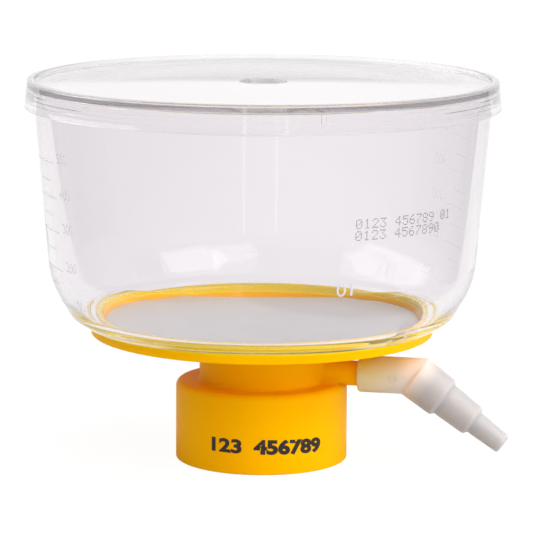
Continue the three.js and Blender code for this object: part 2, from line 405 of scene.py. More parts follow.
def clear_plastic(name, tint, waviness, density, turns):
    """Clear moulded polystyrene, with its surface waves in metres.

    Lamps and soft light pass straight through it, and so does light that is caught
    between its surfaces for some turns. A long way through it dims the light a little."""
    made, tree, shader = new_material(name)
    set_values(shader, Base_Color=(*tint, 1), Roughness=0.0, IOR=1.55)
    shader.inputs["Transmission Weight"].default_value = 1
    flow = noise(tree, 28, 2, 0.4, (1, 1, 0.35))
    bump(tree, shader, [(flow, 0.25, waviness)])
    light_path = tree.nodes.new("ShaderNodeLightPath")
    passing = arithmetic(
        tree, "MAXIMUM",
        light_path.outputs["Is Shadow Ray"], light_path.outputs["Is Diffuse Ray"],
    )
    caught = arithmetic(tree, "GREATER_THAN", light_path.outputs["Ray Depth"], turns)
    passing = arithmetic(tree, "MAXIMUM", passing, caught)
    through = tree.nodes.new("ShaderNodeBsdfTransparent")
    through.inputs["Color"].default_value = (0.955, 0.94, 0.95, 1)
    surface = choose(tree, passing, shader.outputs["BSDF"], through.outputs["BSDF"])
    output = tree.nodes["Material Output"]
    tree.links.new(surface, output.inputs["Surface"])
    depth = tree.nodes.new("ShaderNodeVolumeAbsorption")
    set_values(depth, Color=(0.2, 0.17, 0.19, 1), Density=density)
    tree.links.new(depth.outputs["Volume"], output.inputs["Volume"])
    return made


def yellow_plastic():
    made, tree, shader = new_material("yellow_plastic")
    patches = noise(tree, 45, 2)
    colour = ramp(tree, patches, [(0.3, srgb(251, 180, 0)), (0.7, srgb(251, 188, 0))])
    tree.links.new(colour, shader.inputs["Base Color"])
    wear = noise(tree, 260, 3)
    tree.links.new(value_range(tree, wear, 0.42, 0.55), shader.inputs["Roughness"])
    set_values(shader, IOR=1.5, Subsurface_Weight=0.12, Subsurface_Scale=0.0012)
    set_values(shader, Specular_IOR_Level=0.07, Specular_Tint=(1, 0.8, 0.08, 1))
    shader.inputs["Subsurface Radius"].default_value = (1.0, 0.5, 0.08)
    orange_peel = noise(tree, 700, 2)
    sinks = noise(tree, 60, 1)
    bump(tree, shader, [(sinks, 0.15, 0.0002), (orange_peel, 0.12, 0.00003)])
    return made


def welded_rim_painted_shade():
    """The rim's top and the wall of its well, under the clear foot that is welded to the rim.
    The top's paler, greener yellow is painted shade, standing in for the yellow seen in shade
    through the clear foot.
    """
    made, tree, shader = new_material("welded_rim_painted_shade")
    _, parts = object_place(tree)
    wall_top = (LAND_TOP - 0.06) * MM
    land = (LAND_TOP - 0.02) * MM
    height = step_between(tree, parts["Z"], wall_top, land, kind="LINEAR")
    # painted shade: the top stop's paler, greener yellow stands in for the rim seen in shade
    # through the clear foot
    colour = ramp(tree, height, [
        (0.0, srgb(255, 186, 0)),
        (1.0, srgb(238, 210, 20)),
    ])
    tree.links.new(colour, shader.inputs["Base Color"])
    melted = noise(tree, 300, 3)
    tree.links.new(value_range(tree, melted, 0.5, 0.65), shader.inputs["Roughness"])
    shader.inputs["Specular IOR Level"].default_value = 0
    bump(tree, shader, [(melted, 0.15, 0.00005)])
    return made


def natural_plastic():
    """Milky, uncoloured plastic. The orange on the socket's top is a painted glow that stands
    in for light from the yellow plate and spigot, and the colour turns greyer towards the tip.
    """
    made, tree, shader = new_material("natural_plastic")
    _, parts = object_place(tree)
    painted_glow_start = AXIS_X + SOCKET_START * MM
    painted_glow_end = AXIS_X + (SPIGOT_REACH + 18) * MM
    reach = step_between(tree, parts["X"], painted_glow_start, painted_glow_end)
    socket_top = (SPIGOT_LEVEL + SOCKET_RADIUS) * MM
    socket_bottom = (SPIGOT_LEVEL - SOCKET_RADIUS) * MM
    drop = step_between(tree, parts["Z"], socket_top, socket_bottom, 0.34, "LINEAR")
    fade = arithmetic(tree, "ADD", reach, drop)
    # painted glow: the orange first stops stand in for the yellow plate's and spigot's light
    # on the socket's top
    colour = ramp(tree, fade, [
        (0.0, srgb(255, 196, 44)),
        (0.16, srgb(255, 222, 158)),
        (0.37, srgb(250, 224, 190)),
        (0.65, srgb(236, 225, 214)),
        (1.0, srgb(184, 182, 181)),
    ])
    tree.links.new(colour, shader.inputs["Base Color"])
    cloud = noise(tree, 220, 3)
    tree.links.new(value_range(tree, cloud, 0.36, 0.5), shader.inputs["Roughness"])
    set_values(shader, IOR=1.5, Subsurface_Weight=0.9, Subsurface_Scale=0.005)
    shader.inputs["Subsurface Radius"].default_value = (1.0, 0.85, 0.7)
    grain = noise(tree, 900, 2)
    bump(tree, shader, [(cloud, 0.1, 0.0002), (grain, 0.1, 0.00003)])
    return made


def filter_paper():
    """Matt white membrane with a fine fibre. Its grey colour is painted shade, standing in for
    the shade inside the closed chamber.
    """
    made, tree, shader = new_material("filter_membrane")
    fibres = noise(tree, 1800, 4, 0.7)
    clouds = noise(tree, 60, 2)
    # painted shade: the white membrane is given a grey colour for the shade inside the chamber
    colour = ramp(tree, clouds, [(0.3, srgb(190, 191, 189)), (0.7, srgb(196, 197, 195))])
    tree.links.new(colour, shader.inputs["Base Color"])
    set_values(shader, Roughness=0.32, IOR=1.45)
    shader.inputs["Specular IOR Level"].default_value = 0.5
    bump(tree, shader, [(clouds, 0.2, 0.0003), (fibres, 0.3, 0.00004)])
    return made


def pale_rubber():
    made, tree, shader = new_material("pale_rubber")
    dust = noise(tree, 500, 3)
    colour = ramp(tree, dust, [(0.3, srgb(222, 220, 214)), (0.7, srgb(232, 230, 225))])
    tree.links.new(colour, shader.inputs["Base Color"])
    tree.links.new(value_range(tree, dust, 0.55, 0.7), shader.inputs["Roughness"])
    bump(tree, shader, [(dust, 0.2, 0.00005)])
    return made


def ink(name, colour, patchy, opacity=1.0):
    """Printed ink with slightly uneven cover, which may be thin."""
    made, tree, shader = new_material(name)
    cover = noise(tree, 1500, 3)
    pale = tuple(min(1.0, channel + patchy) for channel in colour)
    tone = ramp(tree, cover, [(0.35, colour), (0.75, pale)])
    tree.links.new(tone, shader.inputs["Base Color"])
    tree.links.new(value_range(tree, cover, 0.45, 0.65), shader.inputs["Roughness"])
    shader.inputs["Alpha"].default_value = opacity
    bump(tree, shader, [(cover, 0.2, 0.00002)])
    return made


def frosted_plastic():
    """The small moulded digits of the clear wall, which scatter the light."""
    made, tree, shader = new_material("frosted_polystyrene")
    grain = noise(tree, 1200, 2)
    tree.links.new(value_range(tree, grain, 0.3, 0.5), shader.inputs["Roughness"])
    set_values(shader, Base_Color=(*srgb(240, 236, 238), 1), IOR=1.55)
    shader.inputs["Transmission Weight"].default_value = 0.35
    bump(tree, shader, [(grain, 0.3, 0.00003)])
    return made


CLEAR = clear_plastic(
    "clear_polystyrene", tint=(0.953, 0.93, 0.946),
    waviness=0.00002, density=10.0, turns=8,
)
CLEAR_FLAT = clear_plastic(
    "clear_lid_polystyrene", tint=(0.985, 0.975, 0.985),
    waviness=0.000002, density=9.5, turns=20,
)
YELLOW = yellow_plastic()
WELDED_RIM_SHADE = welded_rim_painted_shade()
NATURAL = natural_plastic()
PAPER = filter_paper()
RUBBER = pale_rubber()
SCALE_INK = ink("scale_ink", srgb(222, 220, 226), patchy=0.08, opacity=0.2)
# the back scale is the same print as the front; its fainter ink is painted light that offsets
# the shade on its unlit inner face, seen through the wall
FAINT_INK = ink("faint_ink", srgb(230, 228, 232), patchy=0.08, opacity=0.07)
DOT_INK = ink("dot_ink", srgb(96, 90, 110), patchy=0.06)
COLLAR_INK = ink("collar_ink", srgb(34, 20, 12), patchy=0.02)
FROSTED = frosted_plastic()


def dress(piece, material, body, slot, *nodes):
    """Gives a piece its material and its body, and hides the CAD nodes it replaces. The slot
    is not used.
    """
    piece.data.materials.clear()
    piece.data.materials.append(material)
    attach(piece, body)
    if nodes:
        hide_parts(*nodes)
    return piece


# ---------------------------------------------------------------- base

def underside(radius):
    return PLATE_BOTTOM - PLATE_SLOPE * (PLATE_RADIUS - radius)


def floor_level(radius):
    return underside(radius) + PLATE_WALL


def base_shell():
    return turned("filter_body", outline([
        (SPOUT_BORE, SPOUT_END, 0.3),
        (SPOUT_RADIUS, SPOUT_END, 0.5),
        (SPOUT_RADIUS, underside(SPOUT_RADIUS), 0.8),
        (NECK_INNER, underside(NECK_INNER), 0.8),
        (NECK_INNER, COLLAR_ROOF, 0.2),
        (COLLAR_INNER, COLLAR_ROOF, 0.5),
        (COLLAR_INNER, 0.6, 0.2),
        (COLLAR_INNER + 0.4, 0, 0.2),
        (COLLAR_RADIUS, 0, 0.4),
        (COLLAR_RADIUS, COLLAR_HEIGHT, 1.8),
        (NECK_RADIUS, COLLAR_HEIGHT, 0.9),
        (NECK_RADIUS, underside(NECK_RADIUS), 1.5),
        (PLATE_RADIUS, PLATE_BOTTOM, 0.3),
        (PLATE_RADIUS, PLATE_SHOULDER, 0.2),
        (TONGUE_OUTER, PLATE_SHOULDER, 0.1),
        (TONGUE_OUTER, TONGUE_TOP, 0.2),
        (TONGUE_INNER, TONGUE_TOP, 0.5),
        (TONGUE_INNER, LAND_TOP, 0.1),
        (WELL_RADIUS, LAND_TOP, 0.15),
        (WELL_RADIUS, SEAT_LEVEL, 0.15),
        (SEAT_INNER, SEAT_LEVEL, 0.15),
        (SEAT_INNER, floor_level(SEAT_INNER), 0.2),
        (SPOUT_BORE, floor_level(SPOUT_BORE), 0.6),
    ]))


def membrane_rib(index):
    """One of the upright ribs that hold the membrane off the sloping floor."""
    start = LONG_RIB_START if index % 2 == 0 else SHORT_RIB_START
    end = SEAT_INNER + 0.5
    sink = PLATE_WALL / 2
    half = RIB_WIDTH / 2
    taper = 0.8
    vertices = []
    for side in (-half, half):
        vertices.append((start, side, floor_level(start) - sink))
        vertices.append((end, side, floor_level(end) - sink))
        vertices.append((end, side * taper, SEAT_LEVEL))
        vertices.append((start, side * taper, SEAT_LEVEL))
    spin = Matrix.Rotation(index * 2 * math.pi / RIB_COUNT, 4, "Z")
    return mesh_object(f"rib_{index}", vertices, tube_faces(4, 2), UPRIGHT @ spin)


def bottle_thread():
    """The collar's inside thread: a rounded ridge that fades out at both ends."""
    turns = 1.6
    steps = 150
    pitch = 4.0
    first_level = 4.2
    depth = 1.25
    ridge = ((0.35, -1.35), (-0.45, -0.85), (-0.95, -0.4),
             (-0.95, 0.4), (-0.45, 0.85), (0.35, 1.35))
    vertices = []
    for step in range(steps + 1):
        share = step / steps
        turn = 2 * math.pi * turns * share
        fade = min(1.0, 12 * share, 12 * (1 - share))
        rise = first_level + pitch * turns * share
        for inward, up in ridge:
            deep = inward * depth * fade if inward < 0 else inward
            radius = COLLAR_INNER + deep
            vertices.append((
                radius * math.cos(turn),
                radius * math.sin(turn),
                rise + up * (0.4 + 0.6 * fade),
            ))
    faces = tube_faces(len(ridge), steps + 1)
    return mesh_object("bottle_thread", vertices, faces, UPRIGHT)


def spigot():
    """The side spigot, with a soft flare where it leaves the neck."""
    root = NECK_RADIUS - 1
    flare = 2.2
    flare_end = NECK_RADIUS + flare - 0.35
    steps = 10
    points = [(0, root), (SPIGOT_RADIUS + flare, root)]
    for step in range(steps + 1):
        turn = math.pi / 2 * step / steps
        radius = SPIGOT_RADIUS + flare * (1 - math.sin(turn))
        points.append((radius, flare_end - flare * math.cos(turn)))
    on_axis = [(0, SPIGOT_REACH), (0, SPIGOT_REACH - 4)]
    tip = outline(on_axis + [
        (SPIGOT_RADIUS, SPIGOT_REACH - 3),
        (SPIGOT_RADIUS, SPIGOT_REACH - 2, 0.5),
        (SPIGOT_RADIUS - 0.5, SPIGOT_REACH, 0.25),
    ])
    points += tip[len(on_axis):]
    points.append(Vector((0, SPIGOT_REACH)))
    piece = turned("spigot", points, ALONG_X, TUBE_SEGMENTS)
    for vertex in piece.data.vertices:
        along = vertex.co.x / MM - AXIS_X / MM
        if along < flare_end:
            across = min(abs(vertex.co.y) / MM, NECK_RADIUS * 0.9)
            dip = NECK_RADIUS - math.sqrt(NECK_RADIUS ** 2 - across ** 2)
            vertex.co.x -= dip * MM
    return piece


def spigot_saddle():
    """The soft web that joins the spigot's underside to the collar's shoulder."""
    rounding = 1.3
    rise = SPIGOT_LEVEL - COLLAR_HEIGHT
    across = math.sqrt((SPIGOT_RADIUS + rounding) ** 2 - (rise - rounding) ** 2)
    centre = Vector((across, COLLAR_HEIGHT + rounding))
    towards = (Vector((0, SPIGOT_LEVEL)) - centre).normalized()
    first = -math.pi / 2
    sweep = math.atan2(towards.y, towards.x) - 2 * math.pi - first
    side = []
    steps = 8
    for step in range(steps + 1):
        turn = first + sweep * step / steps
        side.append(centre + Vector((math.cos(turn), math.sin(turn))) * rounding)
    points = [Vector((across, COLLAR_HEIGHT - 0.6))] + side
    points += [Vector((-point.x, point.y)) for point in reversed(points)]
    end = math.sqrt(COLLAR_RADIUS ** 2 - across ** 2) - 1.2
    return prism("saddle", points, NECK_RADIUS - 1, end, UPRIGHT)


def paint_rim_shade(body):
    """Gives the rim's top and the wall of its well a second material, which paints shade on
    the rim's top.
    """
    body.data.materials.append(WELDED_RIM_SHADE)
    for face in body.data.polygons:
        outwards = math.hypot(face.center.x - AXIS_X, face.center.y) / MM
        level = face.center.z / MM
        above_seat = outwards > WELL_RADIUS - 0.2 and level > SEAT_LEVEL + 0.2
        on_wall = outwards < WELL_RADIUS + 0.2
        on_top = level > PLATE_SHOULDER - 0.25
        if above_seat and (on_wall or on_top):
            face.material_index = 1


def make_base():
    body = base_shell()
    for index in range(RIB_COUNT):
        combine(body, membrane_rib(index), "UNION")
    combine(body, bottle_thread(), "UNION")
    combine(body, spigot(), "UNION")
    combine(body, spigot_saddle(), "UNION")
    bore = turned("bore", [
        (0, NECK_INNER - 1),
        (SPIGOT_BORE, NECK_INNER - 1),
        (SPIGOT_BORE, SPIGOT_REACH + 1),
        (0, SPIGOT_REACH + 1),
    ], ALONG_X, TUBE_SEGMENTS)
    combine(body, bore, "DIFFERENCE")
    dress(body, YELLOW, "base", "yellow_plastic", "filter_base")
    paint_rim_shade(body)
    return body


# ---------------------------------------------------------------- chamber and lid

FOOT = (FOOT_RADIUS, FOOT_LEVEL, 0.3)
KNEE = (KNEE_RADIUS, KNEE_LEVEL, KNEE_ROUND)
HAUNCH = (HAUNCH_RADIUS, HAUNCH_LEVEL, HAUNCH_ROUND)
RIM = (CHAMBER_TOP_RADIUS, CHAMBER_RIM, 0.6)
WALL_PROFILE = outline([FOOT, KNEE, HAUNCH, RIM, (0, CHAMBER_RIM)])[:-1]


def wall_radius(level):
    """Outer radius of the chamber's wall."""
    for low, high in zip(WALL_PROFILE, WALL_PROFILE[1:]):
        if low.y <= level < high.y:
            share = (level - low.y) / (high.y - low.y)
            return low.x + (high.x - low.x) * share
    return CHAMBER_TOP_RADIUS


def inside_corner(before, corner, after, wall, rounding):
    """The corner of the wall's inside, a wall's thickness from the outside's."""
    tip = Vector(corner[:2])
    back = (Vector(before[:2]) - tip).normalized()
    ahead = (Vector(after[:2]) - tip).normalized()
    half = math.acos(max(-1.0, min(1.0, back.dot(ahead)))) / 2
    place = tip + (back + ahead).normalized() * (wall / math.sin(half))
    return (place.x, place.y, rounding)


def make_chamber():
    land = LAND_TOP - WELD
    groove_top = TONGUE_TOP - WELD
    body = turned("chamber_shell", outline([
        (WELL_RADIUS, land),
        (TONGUE_INNER + WELD, land),
        (TONGUE_INNER + WELD, groove_top),
        (TONGUE_OUTER - WELD, groove_top),
        (TONGUE_OUTER - WELD, FOOT_LEVEL),
        FOOT,
        KNEE,
        HAUNCH,
        RIM,
        (CHAMBER_TOP_RADIUS - CHAMBER_WALL, CHAMBER_RIM, 0.6),
        inside_corner(KNEE, HAUNCH, RIM, CHAMBER_WALL, HAUNCH_ROUND - CHAMBER_WALL),
        inside_corner(FOOT, KNEE, HAUNCH, CHAMBER_FLOOR, 2 * KNEE_ROUND),
        (LEDGE_RADIUS, LEDGE_LEVEL + 0.45, 3.0),
        (WELL_RADIUS, LEDGE_LEVEL, 2.2),
    ]))
    return dress(body, CLEAR, "base", "clear_plastic", "funnel")


def vent_rib(index):
    """A small upright rib with a round end, inside the skirt."""
    half = 0.65
    top = LID_UNDERSIDE + 0.2
    bottom = LID_UNDERSIDE - 3.5
    points = [Vector((half, top)), Vector((-half, top))]
    steps = 10
    for step in range(steps + 1):
        turn = math.pi + math.pi * step / steps
        points.append(Vector((half * math.cos(turn), bottom + half + half * math.sin(turn))))
    spin = Matrix.Rotation(math.radians(VENT_RIB_ANGLE + index * 360 / VENT_RIB_COUNT), 4, "Z")
    inner = CHAMBER_TOP_RADIUS + 0.06
    outer = LID_RADIUS - SKIRT_WALL / 2
    return prism(f"vent_rib_{index}", points, inner, outer, UPRIGHT @ spin)


def make_lid():
    top_inner = LID_RADIUS - SKIRT_WALL
    skirt_inner = SKIRT_RADIUS - SKIRT_WALL
    step = 0.15                  # of the three small steps under the panel
    body = turned("lid_cap", outline([
        (0, LID_UNDERSIDE),
        (top_inner, LID_UNDERSIDE, 0.3),
        (top_inner, LID_UNDERSIDE - 1.1, 0.1),
        (top_inner + step, LID_UNDERSIDE - 1.3, 0.1),
        (top_inner + step, LID_UNDERSIDE - 2.3, 0.1),
        (top_inner + 2 * step, LID_UNDERSIDE - 2.5, 0.1),
        (top_inner + 2 * step, LID_UNDERSIDE - 3.5, 0.1),
        (skirt_inner - 0.3, LID_UNDERSIDE - 3.7, 0.1),
        (skirt_inner - 0.3, SKIRT_BOTTOM + 1.2, 0.3),
        (skirt_inner, SKIRT_BOTTOM, 0.15),
        (SKIRT_RADIUS, SKIRT_BOTTOM, 0.3),
        (LID_RADIUS + 0.15, LID_UNDERSIDE - 0.5, 0.2),
        (LID_RADIUS, LID_UNDERSIDE, 0.2),
        (LID_RADIUS, LID_TOP, 0.75),
        (LID_RADIUS - 2.0, LID_TOP, 0.3),
        (LID_RADIUS - 2.15, LID_PANEL, 0.25),
        (GATE_RADIUS, LID_PANEL, 0.12),
        (GATE_RADIUS - 0.3, LID_PANEL - GATE_DEPTH, 0.2),
        (0, LID_PANEL - GATE_DEPTH),
    ]))
    for index in range(VENT_RIB_COUNT):
        combine(body, vent_rib(index), "UNION")
    return dress(body, CLEAR_FLAT, "lid", "clear_plastic", "lid")


# ---------------------------------------------------------------- small pieces

def make_membrane():
    rim = 0.08
    body = turned("filter_disc", outline([
        (0, MEMBRANE_LOW),
        (MEMBRANE_RADIUS, MEMBRANE_LOW, rim),
        (MEMBRANE_RADIUS, MEMBRANE_HIGH, rim),
        (0, MEMBRANE_HIGH),
    ]))
    return dress(body, PAPER, "base", "filter_membrane", "membrane")


def make_gasket():
    inner = NECK_INNER + 0.5
    body = turned("seal_ring", outline([
        (inner, GASKET_LOW, 0.35),
        (GASKET_RADIUS, GASKET_LOW, 0.35),
        (GASKET_RADIUS, GASKET_HIGH, 0.25),
        (inner, GASKET_HIGH, 0.25),
    ]))
    return dress(body, RUBBER, "base", "pale_rubber", "collar_gasket")


def soften(piece, voxel, rounds):
    """Rounds every edge of a closed piece by a fine remesh and a few smoothings."""
    remesh = piece.modifiers.new("remesh", "REMESH")
    remesh.mode = "VOXEL"
    remesh.voxel_size = voxel * MM
    melt = piece.modifiers.new("melt", "SMOOTH")
    melt.factor = 0.5
    melt.iterations = rounds
    apply_modifiers(piece)
    smooth(piece)


def stem_outline():
    """The three tapered steps of the adapter's stem, from the bend to its tip."""
    points = [(0, 0.0)]
    for index, (start, end, big, small) in enumerate(HOSE_STEPS):
        points.append((big, start, 0.7))
        points.append((small, end, 0.7))
        if index + 1 < len(HOSE_STEPS):
            after = HOSE_STEPS[index + 1]
            middle = end + (after[0] - end) * 0.35
            points.append((after[2] - 0.15, middle, 0.3))
    points.append((0, HOSE_STEPS[-1][1]))
    return outline(points)


def gate_mark():
    """The tool for the shallow round mark that the mould's gate left on the socket."""
    radius = 1.15
    depth = 0.3
    spot = Vector((GATE_PLACE, -SOCKET_RADIUS, SPIGOT_LEVEL)) * MM
    place = (
        Matrix.Translation(spot + Vector((AXIS_X, 0, 0)))
        @ Matrix.Rotation(math.pi / 2, 4, "X")
        @ Matrix.Scale(MM, 4)
    )
    return turned("gate_mark", outline([
        (0, -depth * 0.3),
        (radius * 0.55, -depth * 0.3, 0.1),
        (radius * 0.8, -depth, 0.1),
        (radius, -depth, 0.1),
        (radius + 0.1, 1),
        (0, 1),
    ]), place, 48)


def bore_adapter(body):
    """Cuts the socket for the spigot, and the bore through the bend to the tip."""
    tip = HOSE_STEPS[-1][1]
    socket_bore = turned("socket_bore", outline([
        (0, SOCKET_START - 1),
        (SPIGOT_RADIUS + 0.3, SOCKET_START - 1),
        (SPIGOT_RADIUS + 0.3, SPIGOT_REACH + 0.3, 0.3),
        (0, SPIGOT_REACH + 0.3),
    ]), ALONG_X, TUBE_SEGMENTS)
    combine(body, socket_bore, "DIFFERENCE")
    straight = turned("straight_bore", [
        (0, SOCKET_START),
        (ADAPTER_BORE, SOCKET_START),
        (ADAPTER_BORE, BEND_PLACE + 0.5),
        (0, BEND_PLACE + 0.5),
    ], ALONG_X, TUBE_SEGMENTS)
    combine(body, straight, "DIFFERENCE")
    sloping = turned("stem_bore", [
        (0, -0.5),
        (ADAPTER_BORE, -0.5),
        (TIP_BORE, tip + 1),
        (0, tip + 1),
    ], ALONG_BEND, TUBE_SEGMENTS)
    combine(body, sloping, "DIFFERENCE")


def make_adapter():
    body = turned("hose_barb", outline([
        (0, SOCKET_START),
        (SOCKET_RADIUS, SOCKET_START, 0.5),
        (SOCKET_RADIUS, BEND_PLACE + 12),
        (0, BEND_PLACE + 12),
    ]), ALONG_X, TUBE_SEGMENTS)
    beyond = turned("beyond", [(0, 0.5), (25, 0.5), (25, 30), (0, 30)], ALONG_BEND, 24)
    combine(body, beyond, "DIFFERENCE")
    combine(body, turned("stem", stem_outline(), ALONG_BEND, TUBE_SEGMENTS), "UNION")
    soften(body, voxel=0.28, rounds=14)
    combine(body, gate_mark(), "DIFFERENCE")
    bore_adapter(body)
    return dress(body, NATURAL, "hose_adapter", "natural_plastic", "hose_adapter")


make_base()
make_chamber()
make_lid()
make_membrane()
make_gasket()
make_adapter()


# ---------------------------------------------------------------- marks

INK_HEIGHT = 0.04                # of the printed marks over the plastic
DOT_DIGITS = {                   # columns of a plain five by seven dot matrix
    "0": (62, 81, 73, 69, 62), "1": (0, 66, 127, 64, 0), "2": (66, 97, 81, 73, 70),
    "3": (33, 65, 69, 75, 49), "4": (24, 20, 18, 127, 16), "5": (39, 69, 69, 69, 57),
    "6": (60, 74, 73, 73, 48), "7": (1, 113, 9, 5, 3), "8": (54, 73, 73, 73, 54),
    "9": (6, 73, 73, 41, 30),
}


def collar_wall_radius(level):
    return COLLAR_RADIUS


def wrapped(name, flat, azimuth, radius_of, lift=INK_HEIGHT):
    """Wraps flat polygons of (along, level) millimetres on a turned wall.

    Along is measured to the camera's right from the azimuth, round the wall."""
    vertices = []
    faces = []
    for polygon in flat:
        first = len(vertices)
        for along, level in polygon:
            radius = radius_of(level) + lift
            turn = azimuth + along / radius
            vertices.append((radius * math.cos(turn), radius * math.sin(turn), level))
        faces.append(list(range(first, len(vertices))))
    mesh = bpy.data.meshes.new(name)
    mesh.from_pydata([UPRIGHT @ Vector(vertex) for vertex in vertices], [], faces)
    piece = bpy.data.objects.new(name, mesh)
    scene.collection.objects.link(piece)
    thick = piece.modifiers.new("thickness", "SOLIDIFY")
    thick.thickness = lift * 1.5 * MM
    thick.offset = 0
    apply_modifiers(piece)
    return piece


def text_polygons(text, cap_height, bold=0.0):
    """Flat triangles of a line of plain digits, with its left end at the origin."""
    curve = bpy.data.curves.new("digits", "FONT")
    curve.body = text
    curve.size = 1
    curve.offset = bold
    curve.resolution_u = 4
    writing = bpy.data.objects.new("digits", curve)
    scene.collection.objects.link(writing)
    depsgraph = bpy.context.evaluated_depsgraph_get()
    mesh = bpy.data.meshes.new_from_object(writing.evaluated_get(depsgraph))
    low = min(vertex.co.y for vertex in mesh.vertices)
    high = max(vertex.co.y for vertex in mesh.vertices)
    left = min(vertex.co.x for vertex in mesh.vertices)
    size = cap_height / (high - low)
    spots = [
        ((vertex.co.x - left) * size, (vertex.co.y - low) * size)
        for vertex in mesh.vertices
    ]
    polygons = [[spots[index] for index in face.vertices] for face in mesh.polygons]
    bpy.data.objects.remove(writing)
    bpy.data.meshes.remove(mesh)
    return polygons


def moved(polygons, along, level, stretch=1.0, fall=0.0):
    return [
        [(along + x * stretch, level + y - fall * x) for x, y in polygon]
        for polygon in polygons
    ]


def width_of(polygons):
    return max(x for polygon in polygons for x, _ in polygon)


def bar(start, end, level, thickness, step=0.8):
    """A thin level line in short straight lengths."""
    count = max(1, math.ceil((end - start) / step))
    low = level - thickness / 2
    high = level + thickness / 2
    polygons = []
    for index in range(count):
        left = start + (end - start) * index / count
        right = start + (end - start) * (index + 1) / count
        polygons.append([(left, low), (right, low), (right, high), (left, high)])
    return polygons


def scale_marks(name, azimuth, material):
    """Graduation lines and plain numbers up to 500, centred on an azimuth."""
    long_levels = {
        "100": 47.06, "200": 57.93, "300": 68.55, "400": 78.17, "500": 88.0,
    }
    short_levels = (53.42, 63.39, 73.12, 82.89)
    half_long = 8.5
    half_short = 4.4
    line = 0.35
    digits_start = 11.5
    polygons = []
    for label, level in long_levels.items():
        polygons += bar(-half_long, half_long, level, line)
        digits = text_polygons(label, 2.9, 0.01)
        polygons += moved(digits, digits_start, level + 0.3)
    for level in short_levels:
        polygons += bar(-half_short, half_short, level, line)
    piece = wrapped(name, polygons, azimuth, wall_radius)
    return dress(piece, material, "base", "clear_plastic")


def dot_row(text, level, pitch):
    """A row of dot-matrix digits, with each dot a hexagon."""
    rows = 7
    columns = 5
    dot_across = pitch * 0.8 / columns
    dot_up = 2.7 / rows
    half = 0.15
    turns = [0.4 + 1.05 * corner for corner in range(6)]
    polygons = []
    for place, digit in enumerate(text):
        for column, bits in enumerate(DOT_DIGITS.get(digit, ())):
            for row in range(rows):
                if bits >> row & 1:
                    x = place * pitch + column * dot_across
                    y = level + (rows - 1 - row) * dot_up
                    polygons.append([
                        (x + half * math.cos(turn), y + half * math.sin(turn))
                        for turn in turns
                    ])
    return polygons


def dot_print():
    pitch = 2.46
    azimuth = CAMERA_AZIMUTH + math.radians(23.6)
    polygons = dot_row("0123 456789 01", 75.3, pitch)
    polygons += dot_row("0123 4567890", 72.1, pitch)
    piece = wrapped("dot_print", polygons, azimuth, wall_radius)
    return dress(piece, DOT_INK, "base", "clear_plastic")


def collar_print():
    small = text_polygons("123", 4.1, 0.04)
    large = text_polygons("456789", 4.5, 0.05)
    small_room = 9.2
    large_room = 20.4
    polygons = moved(small, -14.7, 6.1, small_room / width_of(small), 0.01)
    polygons += moved(large, -2.1, 5.9, large_room / width_of(large), 0.03)
    piece = wrapped("collar_print", polygons, CAMERA_AZIMUTH, collar_wall_radius)
    return dress(piece, COLLAR_INK, "base", "yellow_plastic")


def cavity_mark():
    """Two small moulded digits low on the wall."""
    azimuth = CAMERA_AZIMUTH + math.radians(19)
    polygons = moved(text_polygons("01", 3.5), 0, 57.0, 1.2)
    piece = wrapped("cavity_mark", polygons, azimuth, wall_radius, lift=0.1)
    return dress(piece, FROSTED, "base", "clear_plastic")


SCALE_TURN = math.radians(-72.9)
scale_marks("scale_front", CAMERA_AZIMUTH + SCALE_TURN, SCALE_INK)
scale_marks("scale_back", CAMERA_AZIMUTH + SCALE_TURN + math.pi, FAINT_INK)
dot_print()
collar_print()
cavity_mark()


# ---------------------------------------------------------------- stage

STAGE_TURN = Matrix.Rotation(CAMERA_AZIMUTH + math.pi / 2, 4, "Z")
STAGE = Matrix.Translation((AXIS_X, 0, 0)) @ STAGE_TURN


# The floor's own white, as reflections and the clear plastic see it. It is bright in a wedge
# that opens backwards and dim beside that; under the unit it is dim as a painted shadow of the
# unit. Lengths in metres.
WEDGE_SHIFT = 0.036              # of the wedge's middle, to the left
WEDGE_SPREAD = 0.78              # half its width for each metre backwards
WEDGE_EDGE = (-0.172, -0.146)
# painted shadow: radii over which the reflected floor brightens away from under the unit
PAINTED_SHADOW_REACH = (0.034, 0.042)
LEAST_SHADE = 0.03
PLASTIC_EASES = 0.75             # share of the dimming that plastic in front takes away
SIDES_FROM = 0.03
SIDES_EDGE = (0.0, 0.12)
SIDES_SHADE = 0.1                # seen through the plastic, at the far left and right
BRIGHT_FLOOR = 0.93
DIM_FLOOR = 0.12


def wedge_light(tree, place, parts):
    """One where the floor is bright, and zero outside the wedge and under the unit, where the
    zero is a painted shadow of the unit.
    """
    sideways = arithmetic(tree, "ADD", parts["X"], WEDGE_SHIFT)
    sideways = arithmetic(tree, "ABSOLUTE", sideways, 0)
    spread = arithmetic(tree, "MULTIPLY", parts["Y"], WEDGE_SPREAD)
    inside = arithmetic(tree, "SUBTRACT", spread, sideways)
    reach = tree.nodes.new("ShaderNodeVectorMath")
    reach.operation = "LENGTH"
    tree.links.new(place, reach.inputs[0])
    outside_painted_shadow = step_between(tree, reach.outputs["Value"], *PAINTED_SHADOW_REACH)
    lit = step_between(tree, inside, *WEDGE_EDGE)
    return arithmetic(tree, "MULTIPLY", lit, outside_painted_shadow)


